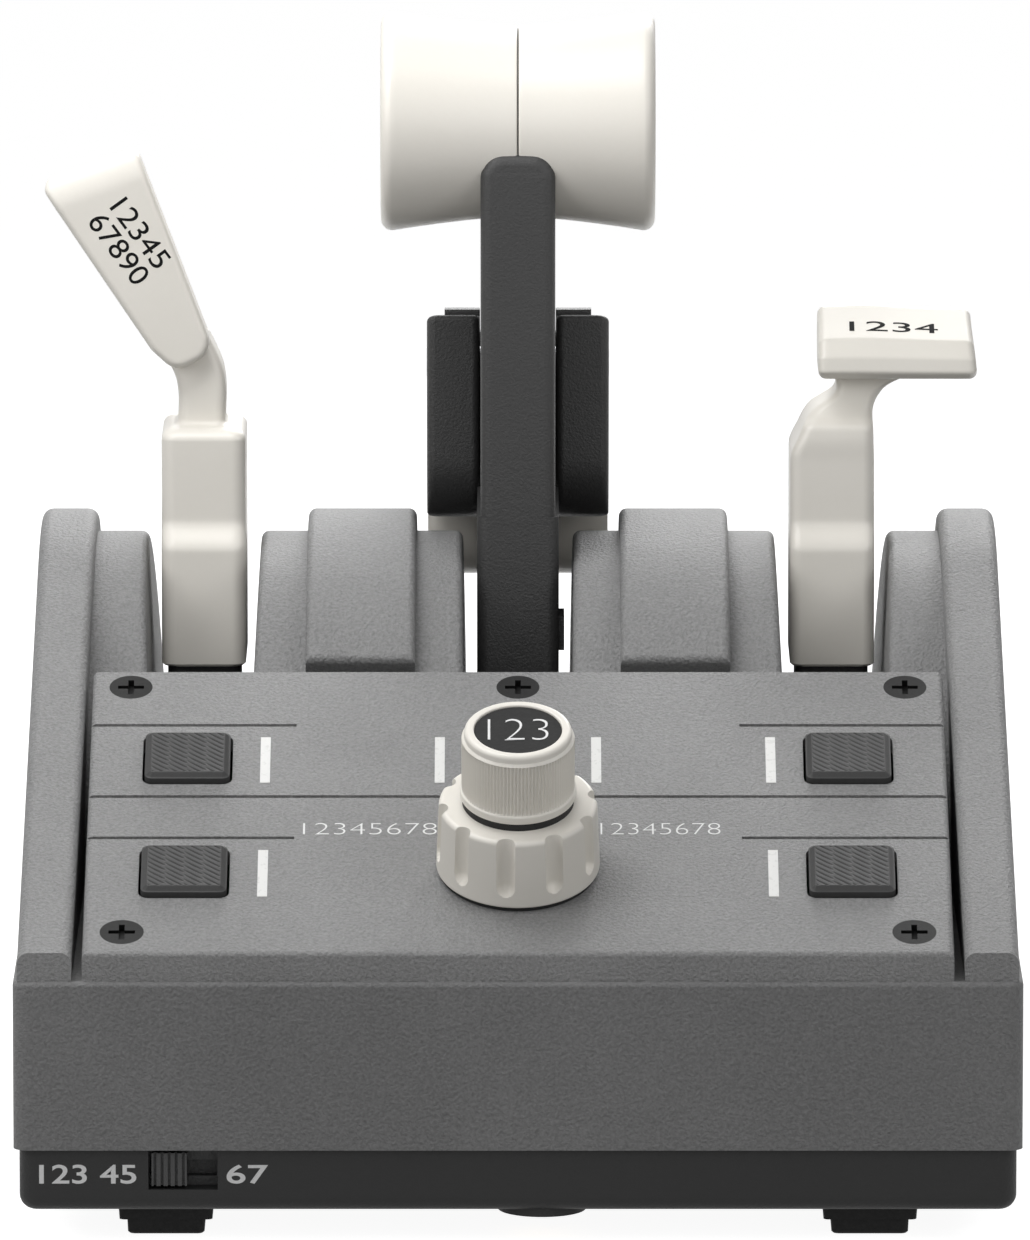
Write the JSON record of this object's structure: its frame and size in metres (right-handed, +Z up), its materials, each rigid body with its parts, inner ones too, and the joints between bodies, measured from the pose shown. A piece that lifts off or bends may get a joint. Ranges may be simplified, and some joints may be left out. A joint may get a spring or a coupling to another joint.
{
  "type": "throttle quadrant",
  "caption": "Desk-top throttle quadrant: three tilting levers behind a sloped panel with square push buttons and a two-stage rotary selector.",
  "frame": {"origin": "on the desk, under the middle of the case's outline", "axes": "+Z up; -Y towards the pilot; +X to the pilot's right"},
  "size_m": [0.16, 0.1922, 0.1792],
  "materials": {
    "grey_shell": "fine-textured moulded plastic",
    "black_shell": "fine-textured moulded plastic",
    "ivory": "satin moulded plastic",
    "black_part": "textured moulded plastic",
    "white_guide": "translucent white plastic",
    "steel": "zinc-plated steel",
    "black_steel": "black oxide",
    "brass": "turned brass",
    "rubber": "moulded rubber",
    "board": "solder-masked glass-fibre board",
    "magnet": "nickel-plated magnet",
    "nylon": "natural nylon"
  },
  "bodies": {
    "case": {"base_tray": "black_shell", "ballast_plate": "steel", "rubber_feet": "rubber", "threaded_inserts": "brass", "base_screws": "steel", "lower_housing": "grey_shell", "side_cover_right": "grey_shell", "side_cover_left": "grey_shell", "divider_right": "grey_shell", "divider_left": "grey_shell", "divider_cap_right": "grey_shell", "divider_cap_left": "grey_shell", "deck_screws": "steel", "panel_frame": "black_part", "front_panel": "grey_shell", "panel_screws": "black_steel", "indicator_bars": "white_guide", "tact_switches": "black_part", "panel_board": "board", "encoder_body": "black_part", "axle": "steel", "axle_clips": "steel", "throttle_yoke": "steel", "speed_brake_yoke": "steel", "flap_yoke": "steel", "sensor_boards": "board", "friction_washers": "nylon", "detent_springs": "steel", "main_board": "board", "usb_jack": "steel", "mode_switch": "black_part"},
    "throttle": {"throttle_hub": "black_part", "throttle_magnet": "magnet", "throttle_stem": "black_part", "throttle_grip_left": "ivory", "throttle_grip_right": "ivory"},
    "reverser": {"reverser_block": "black_part", "reverser_grip": "ivory", "reverser_pin": "steel"},
    "speed_brake": {"speed_brake_hub": "black_part", "speed_brake_magnet": "magnet", "speed_brake_arm": "black_part", "speed_brake_sleeve": "ivory", "speed_brake_paddle": "ivory"},
    "flap": {"flap_hub": "black_part", "flap_magnet": "magnet", "flap_arm": "black_part", "flap_sleeve": "ivory", "flap_handle": "ivory"},
    "dial": {"selector_dial": "ivory"},
    "knob_push": {"encoder_plunger": "nylon"},
    "knob": {"select_knob": "ivory", "knob_disc": "black_part", "encoder_shaft": "steel"},
    "mode": {"mode_slider": "black_part"},
    "button_upper_left": {"button_upper_left": "black_part"},
    "button_upper_right": {"button_upper_right": "black_part"},
    "button_lower_left": {"button_lower_left": "black_part"},
    "button_lower_right": {"button_lower_right": "black_part"}
  },
  "joints": [
    {"name": "throttle_tilt", "type": "hinge", "parent": "case", "child": "throttle", "pos_m": [0, 0.03611, 0.0356], "axis": [1, 0, 0], "range_deg": [-28, 26]},
    {"name": "speed_brake_tilt", "type": "hinge", "parent": "case", "child": "speed_brake", "pos_m": [0, 0.03611, 0.0356], "axis": [1, 0, 0], "range_deg": [-28, 28]},
    {"name": "flap_tilt", "type": "hinge", "parent": "case", "child": "flap", "pos_m": [0, 0.03611, 0.0356], "axis": [1, 0, 0], "range_deg": [-28, 28]},
    {"name": "reverser_lift", "type": "hinge", "parent": "throttle", "child": "reverser", "pos_m": [0, 0.05811, 0.1176], "axis": [1, 0, 0], "range_deg": [0, 36]},
    {"name": "dial_turn", "type": "hinge", "parent": "case", "child": "dial", "pos_m": [0, -0.07454, 0.06208], "axis": [0, -0.3746, 0.9272], "range_deg": [-40, 40]},
    {"name": "knob_press", "type": "slide", "parent": "case", "child": "knob_push", "axis": [0, 0.3746, -0.9272], "range_m": [0, 0.0008], "stiffness_N_per_m": 1500, "springref_m": -0.001},
    {"name": "knob_turn", "type": "hinge", "parent": "knob_push", "child": "knob", "pos_m": [0, -0.07979, 0.07506], "axis": [0, -0.3746, 0.9272], "continuous": true},
    {"name": "mode_slide", "type": "slide", "parent": "case", "child": "mode", "axis": [1, 0, 0], "range_m": [0, 0.0044]},
    {"name": "button_upper_left_press", "type": "slide", "parent": "case", "child": "button_upper_left", "axis": [0, 0.3746, -0.9272], "range_m": [0, 0.001], "stiffness_N_per_m": 800, "springref_m": -0.001},
    {"name": "button_upper_right_press", "type": "slide", "parent": "case", "child": "button_upper_right", "axis": [0, 0.3746, -0.9272], "range_m": [0, 0.001], "stiffness_N_per_m": 800, "springref_m": -0.001},
    {"name": "button_lower_left_press", "type": "slide", "parent": "case", "child": "button_lower_left", "axis": [0, 0.3746, -0.9272], "range_m": [0, 0.001], "stiffness_N_per_m": 800, "springref_m": -0.001},
    {"name": "button_lower_right_press", "type": "slide", "parent": "case", "child": "button_lower_right", "axis": [0, 0.3746, -0.9272], "range_m": [0, 0.001], "stiffness_N_per_m": 800, "springref_m": -0.001}
  ]
}
